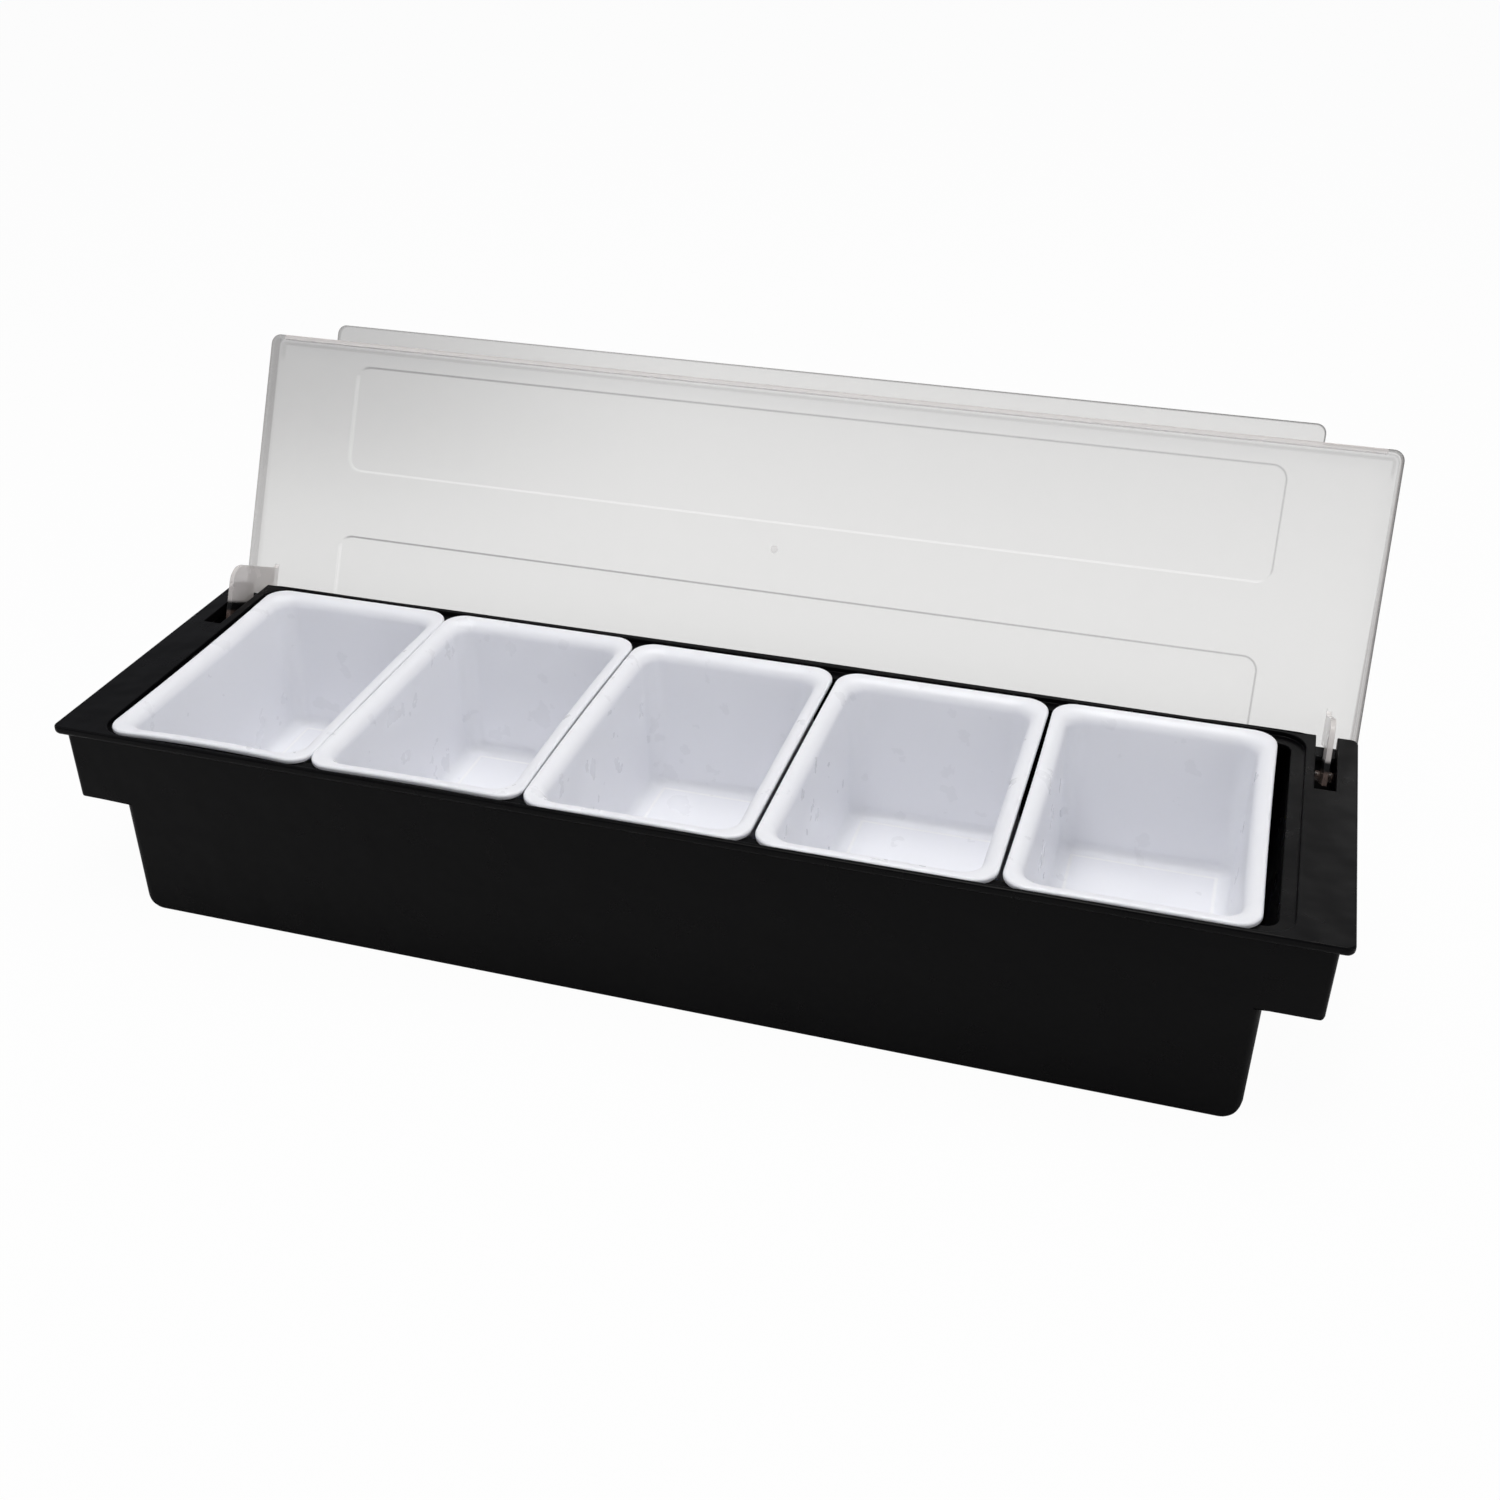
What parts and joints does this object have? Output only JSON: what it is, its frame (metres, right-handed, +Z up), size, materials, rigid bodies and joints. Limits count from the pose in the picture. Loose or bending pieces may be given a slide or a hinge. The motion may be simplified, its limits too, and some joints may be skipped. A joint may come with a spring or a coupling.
{
  "type": "condiment caddy with flip lid",
  "caption": "Long bar caddy: a dark tub for ice with a wide rim and stepped hollow ends, lift-out white food pans and a clear lid hinged along the back.",
  "frame": {"origin": "centre of the tub's underside, which rests on the counter", "axes": "+X to the right along the caddy's length, +Y to the back where the lid hinges, +Z up out of the pans"},
  "size_m": [0.4964, 0.2081, 0.1866],
  "materials": {
    "housing": "satin black moulded plastic",
    "lid": "translucent clear moulded plastic",
    "insert": "smooth white moulded plastic"
  },
  "bodies": {
    "housing": {"housing": "housing"},
    "lid": {"lid": "lid"},
    "pan_1": {"insert_1": "insert"},
    "pan_2": {"insert_2": "insert"},
    "pan_3": {"insert_3": "insert"},
    "pan_4": {"insert_4": "insert"},
    "pan_5": {"insert_5": "insert"}
  },
  "joints": [
    {"name": "lid_hinge", "type": "hinge", "parent": "housing", "child": "lid", "pos_m": [0, 0.0595, 0.0715], "axis": [-1, 0, 0], "range_deg": [-116.5, 0]},
    {"name": "pan_1_lift", "type": "slide", "parent": "housing", "child": "pan_1", "axis": [0, 0, 1], "range_m": [0, 0.075]},
    {"name": "pan_2_lift", "type": "slide", "parent": "housing", "child": "pan_2", "axis": [0, 0, 1], "range_m": [0, 0.075]},
    {"name": "pan_3_lift", "type": "slide", "parent": "housing", "child": "pan_3", "axis": [0, 0, 1], "range_m": [0, 0.075]},
    {"name": "pan_4_lift", "type": "slide", "parent": "housing", "child": "pan_4", "axis": [0, 0, 1], "range_m": [0, 0.075]},
    {"name": "pan_5_lift", "type": "slide", "parent": "housing", "child": "pan_5", "axis": [0, 0, 1], "range_m": [0, 0.075]}
  ]
}
